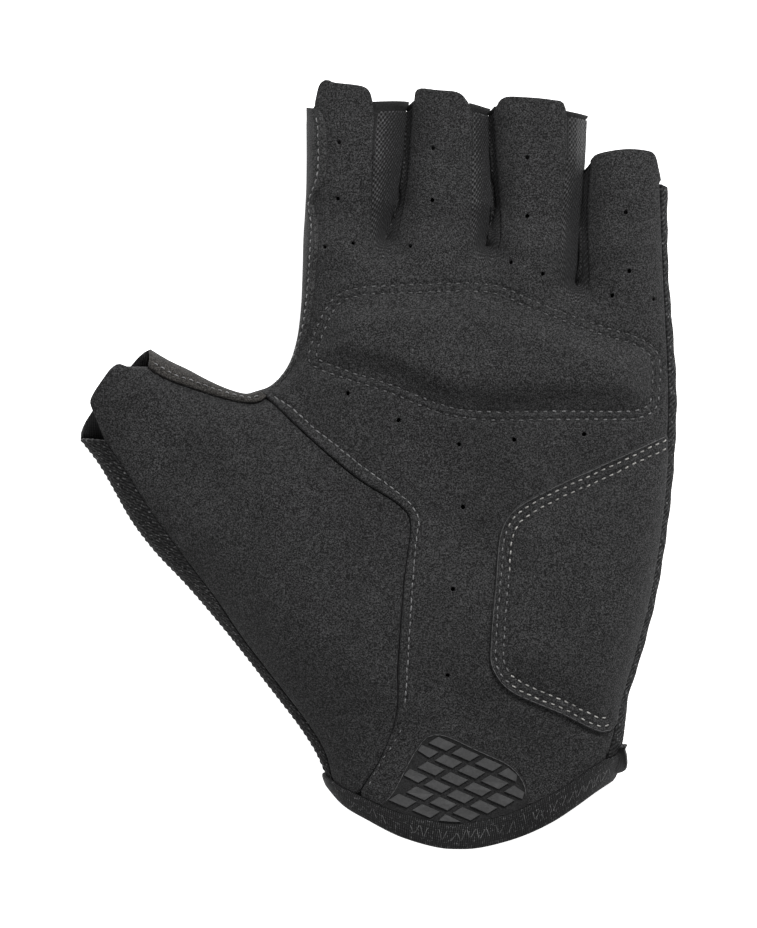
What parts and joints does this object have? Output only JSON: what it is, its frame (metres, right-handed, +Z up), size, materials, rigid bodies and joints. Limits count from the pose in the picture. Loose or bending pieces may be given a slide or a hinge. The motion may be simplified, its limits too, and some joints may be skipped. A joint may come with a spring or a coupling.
{
  "type": "fingerless cycling glove",
  "caption": "Fingerless cycling glove lying palm up, with a padded suede palm, mesh finger gussets, grip patch and bound wrist.",
  "frame": {"origin": "on the flat underside of the back panel, near the middle of the glove, where it rests", "axes": "+Z up out of the palm, +Y towards the fingers, -X towards the thumb"},
  "size_m": [0.1538, 0.1972, 0.031],
  "materials": {
    "suede": "charcoal synthetic suede, fine nap, matt",
    "thumb_suede": "charcoal synthetic suede, slightly darker, matt",
    "heel_suede": "charcoal synthetic suede over a thin pad, matt",
    "hem_tape": "turned suede edge with a row of stitches, matt",
    "mesh_knit": "black open mesh knit",
    "back_knit": "black stretch knit",
    "gel": "soft dark gel",
    "grip_rubber": "printed rubber blocks on suede, satin",
    "cuff_elastic": "black ribbed elastic",
    "cuff_tab_knit": "black folded webbing"
  },
  "bodies": {
    "root": {"palm_panel": "suede", "thumb_panel": "thumb_suede", "index_side_strip": "hem_tape", "thumb_edge_strip": "hem_tape", "fourchette_index_middle": "mesh_knit", "fourchette_middle_ring": "mesh_knit", "fourchette_ring_little": "mesh_knit", "back_panel": "back_knit", "knuckle_pad": "gel", "heel_pad": "heel_suede", "tread_patch": "grip_rubber", "cuff_binding": "cuff_elastic", "cuff_tab": "cuff_tab_knit"}
  },
  "joints": []
}
